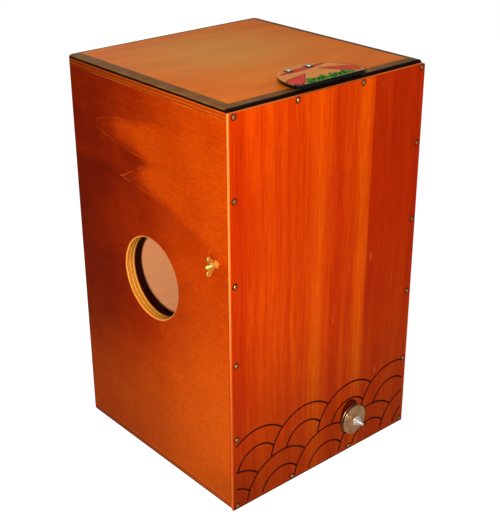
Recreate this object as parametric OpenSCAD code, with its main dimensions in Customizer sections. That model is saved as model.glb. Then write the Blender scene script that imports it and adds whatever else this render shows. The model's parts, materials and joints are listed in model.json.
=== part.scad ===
// Cajon: a plywood box drum with a thin playing face, a sound hole in its left
// side, a clamped snare bar behind the face, a jingle pair on the face and a
// castanet plate on the front of the seat.
//
// Millimetres. +Z is up, the playing face looks towards -Y, the sound hole
// towards -X. The origin is on the floor, under the centre of the box.

/* [Box] */
// Width of the box, side to side
body_w = 300; // [280:1:330]
// Depth of the box, playing face included
body_d = 304; // [290:1:330]
// Height of the box without its feet
body_h = 500; // [480:1:520]
// Thickness of the top and side panels
panel_t = 12; // [11:0.5:13]
// Thickness of the bottom panel
bottom_t = 10; // [9:0.5:12]
// Thickness of the back panel
back_t = 5; // [4:0.5:6]
// Thickness of the playing face
face_t = 4; // [3:0.5:5]
// Width of the square glue battens
batten_w = 15; // [12:1:18]

/* [Sound hole] */
// Radius of the sound hole
hole_r = 51.5; // [40:0.5:60]
// Height of the hole's centre above the box's underside
hole_z = 257.5; // [200:0.5:280]
// Distance of the hole's centre behind the origin
hole_y = -3.5; // [-20:0.5:20]

/* [Snare bar] */
// Height of the bar's axis above the box's underside
bar_z = 321; // [310:1:345]
// Distance of the bar's axis behind the outside of the playing face
bar_set_back = 24.5; // [19:0.5:30]
// Width of the square bar
bar_w = 16; // [14:1:18]
// Length of the snare wires
wire_len = 134; // [100:1:140]

/* [Castanet plate] */
// Radius of the half-moon plate
plate_r = 53; // [50:0.5:65]
// Thickness of the plate
plate_t = 4; // [3:0.5:5]
// Height of the plate's underside above the seat
plate_gap = 3; // [2.5:0.5:4]

/* [Jingles] */
// Radius of the jingle discs
disc_r = 20; // [16:0.5:24]
// Distance of the jingle's stud to the right of the origin
jingle_x = 45.5; // [30:0.5:90]
// Height of the jingle's stud above the box's underside
jingle_z = 50.5; // [40:0.5:120]

/* [Feet] */
// Height of the rubber feet
foot_h = 6; // [5:0.5:8]
// Radius of the rubber feet
foot_r = 12; // [10:0.5:15]

/* [Hidden] */
$fn = 96;

// Free space left between a fixed screw and its hole, and round a turning part
fit = 0.05;
play = 0.1;
// Depth drilled past a screw's tip, and how far a cut runs on past a surface
drill_past = 0.5;
over = 1;

// Planes of the box
half_w = body_w / 2;
face_y = -body_d / 2;
case_y = face_y + face_t;
back_y = body_d / 2;
case_d = back_y - case_y;
base_z = foot_h;
floor_z = base_z + bottom_t;
seat_z = base_z + body_h;
ceiling_z = seat_z - panel_t;
wall_x = half_w - panel_t;
back_in_y = back_y - back_t;

// Roundings: rear corners in plan, edge of the seat, edge of the underside
corner_r = 8;
seat_edge_r = 3.5;
base_edge_r = 3;
face_corner_r = 2;
hole_edge_r = 1.5;

// Face screws: a row up each side, and two more along the top and the bottom
face_screw_x = half_w - panel_t / 2;
face_screw_inner_x = [-54, 46.5];
face_screw_pitch = 100;
face_screw_drop = 7.5;
face_screw_top_z = seat_z - face_screw_drop;
face_screw_bottom_z = base_z + bottom_t / 2;
face_screw_r = 1.75;
face_screw_len = 22;
face_head_r = 3;
face_head_h = 1.9;

// Back screws, set into the battens
back_screw_x = wall_x - batten_w / 2;
back_screw_end_z = batten_w / 2;
back_screw_r = 1.5;
back_screw_len = 16;
back_head_r = 3;

// Feet: each has a wide-headed screw moulded into it, head_at below the box
foot_inset = 26;
foot_screw_r = 1.75;
foot_head_r = 7;
foot_head_h = 1.2;
foot_head_at = 1.2;
foot_screw_depth = 8;

// Castanet: a circle cut by a straight front edge, with rounded corners
plate_x = -1.5;
plate_centre_y = -139;
plate_front_y = -152;
plate_corner_r = 5;
plate_corner_reach = plate_r - plate_corner_r;
plate_corner_y = plate_front_y + plate_corner_r;
plate_corner_x = sqrt(pow(plate_corner_reach, 2) - pow(plate_corner_y - plate_centre_y, 2));
plate_lean = plate_r / plate_corner_reach;
plate_side_x = plate_corner_x * plate_lean;
plate_side_y = plate_centre_y + (plate_corner_y - plate_centre_y) * plate_lean;
strip_x = -5.5;
strip_y = -101;
strip_len = 56;
strip_clear = 0.02;
plate_z = seat_z + plate_gap + strip_clear;
castanet_screw_x = 15.4;
castanet_screw_r = 1.5;
castanet_hole_r = 2.1;
castanet_head_r = 4;
castanet_head_h = 2.2;
castanet_head_gap = 0.35;
castanet_screw_depth = 9;

// Jingle: distances along the stud are measured outwards from the face
stud_r = 2;
stud_out = 25;
stud_head_r = 4.04;
stud_head_h = 2.8;
nut_r = 4.04;
nut_h = 3.2;
outer_nut_r = 5.2;
outer_nut_h = 3.6;
outer_washer_r = 6.5;
outer_washer_t = 0.8;
small_washer_r = 4.5;
small_washer_t = 0.8;
disc_t = 0.8;
dome_r = 9;
dome_h = 2.4;
dome_sphere_r = (dome_r * dome_r + dome_h * dome_h) / (2 * dome_h);
disc_gap = 2.6;
back_disc_at = 6.6;
front_disc_at = back_disc_at + disc_gap;
outer_washer_at = 13;

// Snare bar
bar_y = face_y + bar_set_back;
bar_mid_z = base_z + bar_z;
bar_clear = 0.02;
bar_len = 2 * (wall_x - bar_clear);
bar_stud_r = 2.5;
bar_stud_out = 15;
bar_stud_in = 20;
bar_hole_r = 2.7;
bar_front_y = bar_y - bar_w / 2;

// Snare wires, on a brass plate at each side of the bar's middle
snare_x = 60;
snare_plate_w = 48;
snare_plate_h = 10;
snare_plate_t = 0.8;
snare_screw_x = 21;
snare_screw_r = 1.25;
snare_screw_len = 10;
snare_head_r = 2.5;
snare_head_h = 1.2;
wire_count = 9;
wire_pitch = 4;
wire_r = 0.9;
wire_clear = 0.01;
wire_tip_gap = 0.15;
wire_root_y = bar_front_y - snare_plate_t - wire_r - wire_clear;
wire_tip_y = case_y + wire_r + wire_tip_gap;
wire_lean = asin((wire_root_y - wire_tip_y) / wire_len);

// Wing nut and washer
washer_r = 5;
washer_t = 1;
hub_base_r = 4.6;
hub_top_r = 3.6;
hub_h = 8;
hub_foot_h = 2;
wing_t = 1.8;
wing_root = [3.4, 3.2, 1.6];
wing_tip = [8.4, 9.2, 3.4];

// Outline of the top and bottom panels, drawn in by inset on every side:
// square at the front, rounded at the rear corners.
module box_outline(inset) {
  w = body_w - 2 * inset;
  d = case_d - 2 * inset;
  r = corner_r - inset;
  translate([-w / 2, case_y + inset]) square([w, d - r]);
  translate([r - w / 2, case_y + inset]) square([w - 2 * r, d]);
  for (s = [-1, 1])
    translate([s * (w / 2 - r), back_y - inset - r]) circle(r);
}

// Flat panel with the edge of its upper face rolled over by edge_r.
module eased_panel(t, edge_r) {
  roll_z = t - edge_r;
  roll_x = half_w - edge_r;
  front_y = case_y + edge_r;
  rear_y = back_y - corner_r;
  linear_extrude(roll_z) box_outline(0);
  translate([0, 0, roll_z]) linear_extrude(edge_r) box_outline(edge_r);
  translate([-roll_x, front_y, roll_z]) rotate([0, 90, 0]) cylinder(r = edge_r, h = 2 * roll_x);
  translate([corner_r - half_w, back_y - edge_r, roll_z])
    rotate([0, 90, 0]) cylinder(r = edge_r, h = body_w - 2 * corner_r);
  for (s = [0, 1])
    mirror([s, 0, 0]) {
      translate([roll_x, front_y, roll_z]) rotate([-90, 0, 0])
        cylinder(r = edge_r, h = rear_y - front_y);
      translate([roll_x, front_y, roll_z]) sphere(edge_r);
      translate([half_w - corner_r, rear_y, roll_z])
        rotate_extrude() translate([corner_r - edge_r, 0]) circle(edge_r);
    }
}

// Domed cap of radius r and height h, standing on z = 0.
module dome(r, h) {
  ball_r = (r * r + h * h) / (2 * h);
  rotate_extrude()
    intersection() {
      translate([0, h - ball_r]) circle(ball_r);
      square([r, h]);
    }
}

// Wood screw: domed head above z = 0 with a cross recess, plain shank below.
module dome_screw(head_r, head_h, shank_r, depth) {
  recess_w = head_r * 0.24;
  recess_l = head_r * 1.1;
  recess_z = head_h * 0.45;
  difference() {
    dome(head_r, head_h);
    for (a = [0, 90])
      rotate(a) translate([-recess_l / 2, -recess_w / 2, recess_z])
        cube([recess_l, recess_w, head_h]);
  }
  translate([0, 0, -depth]) cylinder(r = shank_r, h = depth);
}

// Countersunk wood screw: flat head level with z = 0, shank below.
module flat_screw(head_r, shank_r, depth) {
  cone_h = head_r - shank_r;
  slot_w = head_r * 0.24;
  slot_l = head_r * 1.2;
  slot_h = head_r * 0.3;
  difference() {
    union() {
      translate([0, 0, -cone_h]) cylinder(r1 = shank_r, r2 = head_r, h = cone_h);
      translate([0, 0, -depth]) cylinder(r = shank_r, h = depth - cone_h);
    }
    for (a = [0, 90])
      rotate(a) translate([-slot_l / 2, -slot_w / 2, -slot_h])
        cube([slot_l, slot_w, head_r]);
  }
}

// Hole for a countersunk screw, from z = 0 downwards.
module flat_screw_hole(head_r, shank_r, depth) {
  cone_h = head_r - shank_r;
  translate([0, 0, -cone_h])
    cylinder(r1 = shank_r + fit, r2 = head_r + fit, h = cone_h);
  translate([0, 0, -depth - drill_past]) cylinder(r = shank_r + fit, h = depth + drill_past);
}

// Hex nut or hex head, flat on z = 0; r is the corner radius.
module hex(r, h, bore_r) {
  difference() {
    cylinder(r = r, h = h, $fn = 6);
    translate([0, 0, -over]) cylinder(r = bore_r, h = h + 2 * over);
  }
}

// Flat ring standing on z = 0.
module ring(outer_r, inner_r, h) {
  difference() {
    cylinder(r = outer_r, h = h);
    translate([0, 0, -over]) cylinder(r = inner_r, h = h + 2 * over);
  }
}

// Puts what is drawn along +Z on the playing face, pointing out of it.
module out_of_face(x, y, z) {
  translate([x, y, z]) rotate([90, 0, 0]) children();
}

// Puts what is drawn along +Z on a side of the box, pointing out of it.
module out_of_side(s, x, y, z) {
  translate([s * x, y, z]) rotate([0, s * 90, 0]) children();
}

// Places of the sixteen face screws.
module at_side_face_screws() {
  for (s = [-1, 1])
    for (i = [1:4])
      out_of_face(s * face_screw_x, face_y, base_z + i * face_screw_pitch) children();
}

module at_end_face_screws(z) {
  for (x = concat([-face_screw_x, face_screw_x], face_screw_inner_x))
    out_of_face(x, face_y, z) children();
}

module face_screw_bore() {
  translate([0, 0, -face_screw_len - drill_past])
    cylinder(r = face_screw_r + fit, h = face_screw_len + drill_past + over);
}

// Places of the ten back screws: five up each side batten.
module at_back_screws() {
  rise = (ceiling_z - floor_z - 2 * back_screw_end_z) / 4;
  for (s = [-1, 1])
    for (i = [0:4])
      translate([s * back_screw_x, back_y, floor_z + back_screw_end_z + i * rise])
        rotate([-90, 0, 0]) children();
}

// Places of the four feet, at the underside of the box.
module at_feet() {
  for (sx = [-1, 1])
    for (sy = [-1, 1])
      translate([sx * (half_w - foot_inset), sy * (back_y - foot_inset), base_z]) children();
}

// Places of the two castanet screws, on the seat.
module at_castanet_screws() {
  for (s = [-1, 1])
    translate([strip_x + s * castanet_screw_x, strip_y, seat_z]) children();
}

// Places of the four snare plate screws, on the bar's front.
module at_snare_screws(side) {
  for (s = [-1, 1])
    out_of_face(side * snare_x + s * snare_screw_x, bar_front_y, bar_mid_z) children();
}

module playing_face() {
  color("orangered")
    difference() {
      out_of_face(0, case_y, 0) linear_extrude(face_t) face_outline();
      at_side_face_screws() face_screw_bore();
      at_end_face_screws(face_screw_top_z) face_screw_bore();
      at_end_face_screws(face_screw_bottom_z) face_screw_bore();
      out_of_face(jingle_x, case_y + over, base_z + jingle_z)
        cylinder(r = stud_r + fit, h = face_t + 2 * over);
    }
}

// Outline of the playing face: it stops below the seat's rolled edge.
module face_outline() {
  top_z = seat_z - seat_edge_r;
  translate([-half_w, base_z]) square([body_w, top_z - base_z - face_corner_r]);
  translate([face_corner_r - half_w, base_z])
    square([body_w - 2 * face_corner_r, top_z - base_z]);
  for (s = [-1, 1])
    translate([s * (half_w - face_corner_r), top_z - face_corner_r]) circle(face_corner_r);
}

// Side panel: stands between the bottom and top panels.
module side_panel(s) {
  difference() {
    translate([0, 0, floor_z])
      linear_extrude(ceiling_z - floor_z)
        intersection() {
          box_outline(0);
          translate([s > 0 ? wall_x : -half_w, case_y]) square([panel_t, case_d]);
        }
    at_side_face_screws() face_screw_bore();
    out_of_side(s, wall_x - over, bar_y, bar_mid_z)
      cylinder(r = bar_hole_r, h = panel_t + 2 * over);
  }
}

module side_left() {
  color("sienna")
    difference() {
      side_panel(-1);
      out_of_side(-1, wall_x, hole_y, base_z + hole_z) sound_hole_cut();
    }
}

// Cuts the sound hole: a straight bore whose outer rim is rounded.
module sound_hole_cut() {
  rim_r = hole_r + hole_edge_r;
  translate([0, 0, -over]) cylinder(r = hole_r, h = panel_t + 2 * over);
  translate([0, 0, panel_t - hole_edge_r])
    rotate_extrude()
      difference() {
        square([rim_r, hole_edge_r + over]);
        translate([rim_r, 0]) circle(hole_edge_r);
      }
}

module side_right() {
  color("sienna") side_panel(1);
}

module top_panel() {
  color("peru")
    difference() {
      translate([0, 0, ceiling_z]) eased_panel(panel_t, seat_edge_r);
      at_end_face_screws(face_screw_top_z) face_screw_bore();
      at_castanet_screws() translate([0, 0, -castanet_screw_depth - drill_past])
        cylinder(r = castanet_screw_r + fit, h = castanet_screw_depth + drill_past + over);
    }
}

module bottom_panel() {
  color("saddlebrown")
    difference() {
      translate([0, 0, floor_z]) mirror([0, 0, 1]) eased_panel(bottom_t, base_edge_r);
      at_end_face_screws(face_screw_bottom_z) face_screw_bore();
      at_feet() translate([0, 0, -over])
        cylinder(r = foot_screw_r + fit, h = foot_screw_depth + drill_past + over);
    }
}

module back_panel() {
  color("burlywood")
    difference() {
      translate([-wall_x, back_in_y, floor_z]) cube([2 * wall_x, back_t, ceiling_z - floor_z]);
      at_back_screws() flat_screw_hole(back_head_r, back_screw_r, back_screw_len);
    }
}

module rear_corner_battens() {
  color("wheat")
    difference() {
      for (s = [-1, 1])
        translate([s * back_screw_x, back_in_y - batten_w / 2, (floor_z + ceiling_z) / 2])
          cube([batten_w, batten_w, ceiling_z - floor_z], center = true);
      at_back_screws() flat_screw_hole(back_head_r, back_screw_r, back_screw_len);
    }
}

module rear_cross_battens() {
  color("wheat")
    for (z = [floor_z, ceiling_z - batten_w])
      translate([batten_w - wall_x, back_in_y - batten_w, z])
        cube([2 * (wall_x - batten_w), batten_w, batten_w]);
}

// Pair of battens along the two sides, standing on height z.
module side_battens(z) {
  front_gap = 10;
  for (s = [-1, 1])
    translate([s * back_screw_x - batten_w / 2, case_y + front_gap, z])
      cube([batten_w, back_in_y - batten_w - case_y - front_gap, batten_w]);
}

module top_side_battens() {
  color("wheat") side_battens(ceiling_z - batten_w);
}

module bottom_side_battens() {
  color("wheat") side_battens(floor_z);
}

module face_screw() {
  dome_screw(face_head_r, face_head_h, face_screw_r, face_screw_len);
}

module face_screws() {
  color("gold") {
    at_side_face_screws() face_screw();
    at_end_face_screws(face_screw_top_z) face_screw();
    at_end_face_screws(face_screw_bottom_z) face_screw();
  }
}

module back_screws() {
  color("gold") at_back_screws() flat_screw(back_head_r, back_screw_r, back_screw_len);
}

module rubber_feet() {
  color("dimgray")
    at_feet() mirror([0, 0, 1])
      difference() {
        cylinder(r = foot_r, h = foot_h);
        translate([0, 0, -over]) cylinder(r = foot_screw_r + fit, h = foot_head_at + over);
        translate([0, 0, foot_head_at]) cylinder(r = foot_head_r + fit, h = foot_head_h);
      }
}

module foot_screws() {
  color("silver")
    at_feet() {
      translate([0, 0, -foot_head_at])
        cylinder(r = foot_screw_r, h = foot_head_at + foot_screw_depth);
      translate([0, 0, -foot_head_at - foot_head_h]) cylinder(r = foot_head_r, h = foot_head_h);
    }
}

// Half-moon plate outline: a circle cut straight at the front, corners rounded.
module half_moon() {
  intersection() {
    translate([0, plate_centre_y]) circle(plate_r);
    union() {
      translate([-plate_r, plate_side_y]) square([2 * plate_r, 2 * plate_r]);
      translate([-plate_corner_x, plate_front_y]) square([2 * plate_corner_x, plate_r]);
      for (s = [-1, 1])
        polygon([
          [s * plate_corner_x, plate_corner_y],
          [s * plate_side_x, plate_side_y],
          [s * plate_corner_x, plate_side_y + 1]
        ]);
    }
  }
  for (s = [-1, 1])
    translate([s * plate_corner_x, plate_corner_y]) circle(plate_corner_r);
}

module castanet_plate() {
  color("tan")
    difference() {
      translate([plate_x, 0, plate_z]) linear_extrude(plate_t) half_moon();
      at_castanet_screws() cylinder(r = castanet_hole_r, h = plate_gap + plate_t + 2 * over);
    }
}

// Half-round strip that the plate rocks on, lying flat on the seat.
module castanet_strip() {
  color("saddlebrown")
    difference() {
      translate([strip_x - strip_len / 2, strip_y, seat_z]) rotate([90, 0, 90])
        linear_extrude(strip_len)
          intersection() {
            circle(plate_gap);
            translate([-plate_gap, 0]) square([2 * plate_gap, plate_gap]);
          }
      at_castanet_screws() translate([0, 0, -over])
        cylinder(r = castanet_screw_r + fit, h = plate_gap + 2 * over);
    }
}

module castanet_screws() {
  head_z = strip_clear + plate_gap + plate_t + castanet_head_gap;
  color("silver")
    at_castanet_screws() translate([0, 0, head_z])
      dome_screw(castanet_head_r, castanet_head_h, castanet_screw_r,
                 castanet_screw_depth + head_z);
}

// Puts what is drawn along +Z on the jingle's stud, at a distance out of the face.
module on_stud(at) {
  out_of_face(jingle_x, face_y - at, base_z + jingle_z) children();
}

module jingle_stud() {
  head_at = -face_t - small_washer_t;
  color("silver")
    on_stud(head_at) {
      cylinder(r = stud_r, h = stud_out - head_at);
      translate([0, 0, -stud_head_h]) cylinder(r = stud_head_r, h = stud_head_h, $fn = 6);
    }
}

module jingle_washer() {
  color("silver")
    on_stud(-face_t - small_washer_t) ring(small_washer_r, stud_r + fit, small_washer_t);
}

module jingle_lock_nut() {
  color("silver") on_stud(0) hex(nut_r, nut_h, stud_r + fit);
}

// Jingle disc: flat brim on z = 0 and a dome rising from its middle.
module jingle_disc() {
  difference() {
    rotate_extrude() {
      translate([dome_r, 0]) square([disc_r - dome_r, disc_t]);
      intersection() {
        difference() {
          translate([0, dome_h - dome_sphere_r]) circle(dome_sphere_r + disc_t);
          translate([0, dome_h - dome_sphere_r]) circle(dome_sphere_r);
        }
        square([dome_r + disc_t, dome_h + disc_t]);
      }
    }
    translate([0, 0, -over]) cylinder(r = stud_r + play, h = dome_h + disc_t + 2 * over);
  }
}

module jingle_back() {
  color("tan") on_stud(back_disc_at) mirror([0, 0, 1]) jingle_disc();
}

module jingle_front() {
  color("tan") on_stud(front_disc_at) jingle_disc();
}

module jingle_outer_washer() {
  color("silver")
    on_stud(outer_washer_at) ring(outer_washer_r, stud_r + fit, outer_washer_t);
}

module jingle_outer_nut() {
  color("silver")
    on_stud(outer_washer_at + outer_washer_t) hex(outer_nut_r, outer_nut_h, stud_r + fit);
}

module snare_bar() {
  color("burlywood")
    difference() {
      translate([0, bar_y, bar_mid_z]) cube([bar_len, bar_w, bar_w], center = true);
      for (s = [-1, 1]) {
        out_of_side(s, wall_x - bar_stud_in - fit, bar_y, bar_mid_z)
          cylinder(r = bar_stud_r + fit, h = bar_stud_in + over);
        at_snare_screws(s) translate([0, 0, -snare_screw_len - drill_past])
          cylinder(r = snare_screw_r + fit, h = snare_screw_len + drill_past + over);
      }
    }
}

// Threaded stud set in one end of the bar, passing out through the side.
module bar_stud(s) {
  color("goldenrod")
    out_of_side(s, wall_x - bar_stud_in, bar_y, bar_mid_z)
      cylinder(r = bar_stud_r, h = bar_stud_in + panel_t + bar_stud_out);
}

module bar_stud_left() {
  bar_stud(-1);
}

module bar_stud_right() {
  bar_stud(1);
}

// Brass strip that the snare wires are soldered to.
module snare_plate(side) {
  color("goldenrod")
    difference() {
      translate([side * snare_x - snare_plate_w / 2, bar_front_y - snare_plate_t,
                 bar_mid_z - snare_plate_h / 2])
        cube([snare_plate_w, snare_plate_t, snare_plate_h]);
      at_snare_screws(side) translate([0, 0, -over])
        cylinder(r = snare_screw_r + fit, h = snare_plate_t + 2 * over);
    }
}

module snare_plate_left() {
  snare_plate(-1);
}

module snare_plate_right() {
  snare_plate(1);
}

module snare_screws() {
  color("silver")
    for (side = [-1, 1])
      at_snare_screws(side) translate([0, 0, snare_plate_t])
        dome_screw(snare_head_r, snare_head_h, snare_screw_r, snare_screw_len);
}

// Row of coiled wires, each drawn as the round envelope of its coil. They lean
// forwards so that their tips lie against the inside of the face.
module snare_wires(side) {
  color("silver")
    for (i = [0:wire_count - 1])
      translate([side * snare_x + (i - (wire_count - 1) / 2) * wire_pitch, wire_root_y, bar_mid_z])
        rotate([wire_lean, 0, 0]) cylinder(r = wire_r, h = wire_len);
}

module snare_wires_left() {
  snare_wires(-1);
}

module snare_wires_right() {
  snare_wires(1);
}

module side_washer(s) {
  color("goldenrod")
    out_of_side(s, half_w, bar_y, bar_mid_z) ring(washer_r, bar_stud_r + play, washer_t);
}

module washer_left() {
  side_washer(-1);
}

module washer_right() {
  side_washer(1);
}

// Wing nut: foot flange, tapered hub and two flared wings in the upright plane.
module wing_nut(s) {
  color("gold")
    out_of_side(s, half_w + washer_t, bar_y, bar_mid_z)
      difference() {
        union() {
          cylinder(r = hub_base_r, h = hub_foot_h);
          cylinder(r1 = hub_base_r, r2 = hub_top_r, h = hub_h);
          for (m = [0, 1])
            mirror([m, 0, 0]) rotate([90, 0, 0]) translate([0, 0, -wing_t / 2])
              linear_extrude(wing_t) wing_outline();
        }
        translate([0, 0, -over])
          cylinder(r = bar_stud_r + fit, h = wing_tip[1] + wing_tip[2] + 2 * over);
      }
}

module wing_outline() {
  hull() {
    translate([wing_root[0], wing_root[1]]) circle(wing_root[2]);
    translate([wing_tip[0], wing_tip[1]]) circle(wing_tip[2]);
  }
}

module wing_nut_left() {
  wing_nut(-1);
}

module wing_nut_right() {
  wing_nut(1);
}

playing_face();
side_left();
side_right();
top_panel();
bottom_panel();
back_panel();
rear_corner_battens();
rear_cross_battens();
top_side_battens();
bottom_side_battens();
face_screws();
back_screws();
rubber_feet();
foot_screws();
castanet_plate();
castanet_strip();
castanet_screws();
jingle_stud();
jingle_washer();
jingle_lock_nut();
jingle_back();
jingle_front();
jingle_outer_washer();
jingle_outer_nut();
snare_bar();
bar_stud_left();
bar_stud_right();
snare_plate_left();
snare_plate_right();
snare_screws();
snare_wires_left();
snare_wires_right();
washer_left();
washer_right();
wing_nut_left();
wing_nut_right();
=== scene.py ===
"""Looks for a wooden box drum with a castanet, a jingle and a snare, built round its CAD frame."""

import json
import math

import bpy
from mathutils import Matrix, Vector

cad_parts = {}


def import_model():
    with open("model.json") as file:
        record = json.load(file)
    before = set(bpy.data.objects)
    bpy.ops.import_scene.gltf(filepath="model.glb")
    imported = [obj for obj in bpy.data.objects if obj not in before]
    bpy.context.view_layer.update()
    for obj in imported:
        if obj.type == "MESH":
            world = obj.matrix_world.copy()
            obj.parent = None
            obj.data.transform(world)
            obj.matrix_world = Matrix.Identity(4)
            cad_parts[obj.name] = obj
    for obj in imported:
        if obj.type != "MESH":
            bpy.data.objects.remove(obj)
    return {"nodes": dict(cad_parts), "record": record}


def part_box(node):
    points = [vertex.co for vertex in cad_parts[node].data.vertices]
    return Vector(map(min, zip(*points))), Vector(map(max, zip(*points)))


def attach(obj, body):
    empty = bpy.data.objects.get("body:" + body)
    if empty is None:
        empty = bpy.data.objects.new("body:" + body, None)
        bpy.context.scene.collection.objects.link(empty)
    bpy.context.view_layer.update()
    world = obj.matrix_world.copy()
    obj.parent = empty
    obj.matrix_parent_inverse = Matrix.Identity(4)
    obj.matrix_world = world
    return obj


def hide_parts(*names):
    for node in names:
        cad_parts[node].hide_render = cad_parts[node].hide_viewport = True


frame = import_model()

bpy.context.view_layer.update()
NODES = frame["nodes"]
MM = 0.001

# ---- places, all from the frame

FACE_LOW, FACE_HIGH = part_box("playing_face")
SEAT_LOW, SEAT_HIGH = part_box("top_panel")
BASE_LOW, BASE_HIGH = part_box("bottom_panel")
SIDE_LOW, SIDE_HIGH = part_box("side_left")
BACK_LOW, BACK_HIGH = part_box("back_panel")
PLATE_LOW, PLATE_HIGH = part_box("castanet_plate")
PLATE_SCREW_LOW, PLATE_SCREW_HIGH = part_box("castanet_screws")
PLATE_SCREW_MID = (PLATE_SCREW_LOW + PLATE_SCREW_HIGH) / 2
PLATE_SCREW_R = (PLATE_SCREW_HIGH.y - PLATE_SCREW_LOW.y) / 2
PLATE_SCREW_OFF = (PLATE_SCREW_HIGH.x - PLATE_SCREW_LOW.x) / 2 - PLATE_SCREW_R
WASHER_LOW, WASHER_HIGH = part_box("washer_left")
DISC_LOW, DISC_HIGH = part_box("jingle_front")
HALF_W = SEAT_HIGH.x
FACE_Y = FACE_LOW.y
SEAT_Z = SEAT_HIGH.z
HOLE = next(m for m in frame["record"]["mounts"] if m["name"] == "sound_hole")
HOLE_Y, HOLE_Z = HOLE["pos_m"][1:]
HOLE_R = HOLE["dims"]["r_mm"] * MM
BAR_Y = (WASHER_LOW.y + WASHER_HIGH.y) / 2
BAR_Z = (WASHER_LOW.z + WASHER_HIGH.z) / 2
JINGLE_X = (DISC_LOW.x + DISC_HIGH.x) / 2
JINGLE_Z = (DISC_LOW.z + DISC_HIGH.z) / 2

# thicknesses of the plywood panels
BOX_PLY = SIDE_HIGH.x - SIDE_LOW.x
BASE_PLY = BASE_HIGH.z - BASE_LOW.z
BACK_PLY = BACK_HIGH.y - BACK_LOW.y


def rgb(red, green, blue):
    """A colour given as screen values from 0 to 255, as linear light."""
    screen = [v / 255 for v in (red, green, blue)]
    linear = [v / 12.92 if v <= 0.04045 else ((v + 0.055) / 1.055) ** 2.4 for v in screen]
    return (*linear, 1.0)


# ---- material graphs


class Graph:
    """Writes one material's node tree as expressions. Sockets and plain values mix freely."""

    def __init__(self, name):
        self.material = bpy.data.materials.new(name)
        self.material.use_nodes = True
        self.tree = self.material.node_tree
        self.tree.nodes.clear()
        coords = self.add("ShaderNodeTexCoord")
        self.x, self.y, self.z = self.split(coords.outputs["Object"])
        self.nx, self.ny, self.nz = self.split(coords.outputs["Normal"])

    def add(self, kind, inputs=(), **settings):
        node = self.tree.nodes.new(kind)
        for key, value in settings.items():
            setattr(node, key, value)
        for key, value in dict(inputs).items():
            self.feed(node.inputs[key], value)
        return node

    def feed(self, socket, value):
        if isinstance(value, bpy.types.NodeSocket):
            self.tree.links.new(value, socket)
        else:
            socket.default_value = value

    def split(self, vector):
        return self.add("ShaderNodeSeparateXYZ", {0: vector}).outputs[:]

    def vector(self, x, y, z):
        return self.add("ShaderNodeCombineXYZ", {0: x, 1: y, 2: z}).outputs[0]

    def math(self, operation, a, b=0.0):
        return self.add("ShaderNodeMath", {0: a, 1: b}, operation=operation).outputs[0]

    def chain(self, operation, values):
        """One operation run through several values in turn."""
        result = values[0]
        for value in values[1:]:
            result = self.math(operation, result, value)
        return result

    def times(self, *values):
        return self.chain("MULTIPLY", values)

    def plus(self, *values):
        return self.chain("ADD", values)

    def either(self, *values):
        """Greatest of several values."""
        return self.chain("MAXIMUM", values)

    def minus(self, a, b):
        return self.math("SUBTRACT", a, b)

    def size(self, a):
        return self.math("ABSOLUTE", a)

    def both(self, a, b):
        return self.math("MINIMUM", a, b)

    def reach(self, a, b):
        """Length of the vector (a, b)."""
        return self.math("SQRT", self.plus(self.times(a, a), self.times(b, b)))

    def rise(self, value, start, end, low=0.0, high=1.0):
        """Smooth step of a value: low at start, high at end. Start may be over end."""
        inputs = {"Value": value, "From Min": start, "From Max": end, "To Min": low, "To Max": high}
        node = self.add("ShaderNodeMapRange", inputs, interpolation_type="SMOOTHSTEP")
        return node.outputs["Result"]

    def near(self, value, width, soft):
        """1 where the value is within width of zero, falling to 0 over soft."""
        return self.rise(self.size(value), width + soft, width)

    def noise(self, x, y, z, detail=2.0, rough=0.5):
        """Noise from 0 to 1. A coordinate is a value or a pair of a value and its scale."""
        place = [self.times(*v) if isinstance(v, tuple) else v for v in (x, y, z)]
        inputs = {"Vector": self.vector(*place), "Scale": 1.0, "Detail": detail, "Roughness": rough}
        return self.add("ShaderNodeTexNoise", inputs).outputs["Fac"]

    def blots(self, scale, detail=2.0, rough=0.5):
        """Noise from 0 to 1 with features of 1 / scale metres in every direction."""
        return self.noise((self.x, scale), (self.y, scale), (self.z, scale), detail, rough)

    def ramp(self, value, *stops):
        """Colour of a value: stops are (position, colour)."""
        node = self.add("ShaderNodeValToRGB", {0: value})
        elements = node.color_ramp.elements
        while len(elements) < len(stops):
            elements.new(0.5)
        for element, (position, colour) in zip(elements, stops):
            element.position = position
            element.color = colour
        return node.outputs["Color"]

    def mix(self, share, a, b, blend="MIX"):
        """Mix of two colours."""
        node = self.add("ShaderNodeMix", {0: share, 6: a, 7: b}, data_type="RGBA",
                        blend_type=blend, clamp_factor=True)
        return node.outputs[2]

    def blend(self, share, a, b):
        """Mix of two numbers."""
        node = self.add("ShaderNodeMix", {0: share, 2: a, 3: b}, data_type="FLOAT")
        return node.outputs[0]

    def shade(self, colour, amount):
        """Colour times a grey amount."""
        grey = self.add("ShaderNodeCombineColor", {0: amount, 1: amount, 2: amount})
        return self.mix(1.0, colour, grey.outputs[0], "MULTIPLY")

    def vary(self, colour, noise, low, high):
        """Colour shaded from low to high by a noise."""
        return self.shade(colour, self.rise(noise, 0.2, 0.8, low, high))

    def bump(self, height, depth, strength=1.0):
        """Normal of a surface whose height runs from 0 to 1 over that depth in metres."""
        node = self.add("ShaderNodeBump", {"Height": height, "Distance": depth, "Strength": strength})
        return node.outputs["Normal"]

    def finish(self, colour, rough=0.5, metal=0.0, normal=None, **more):
        """Ends the graph with a Principled shader. Extra inputs are named with underscores."""
        inputs = {"Base Color": colour, "Roughness": rough, "Metallic": metal}
        if normal is not None:
            inputs["Normal"] = normal
        inputs.update({key.replace("_", " "): value for key, value in more.items()})
        shader = self.add("ShaderNodeBsdfPrincipled", inputs)
        end = self.add("ShaderNodeOutputMaterial")
        self.tree.links.new(shader.outputs[0], end.inputs[0])
        return self.material


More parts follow.
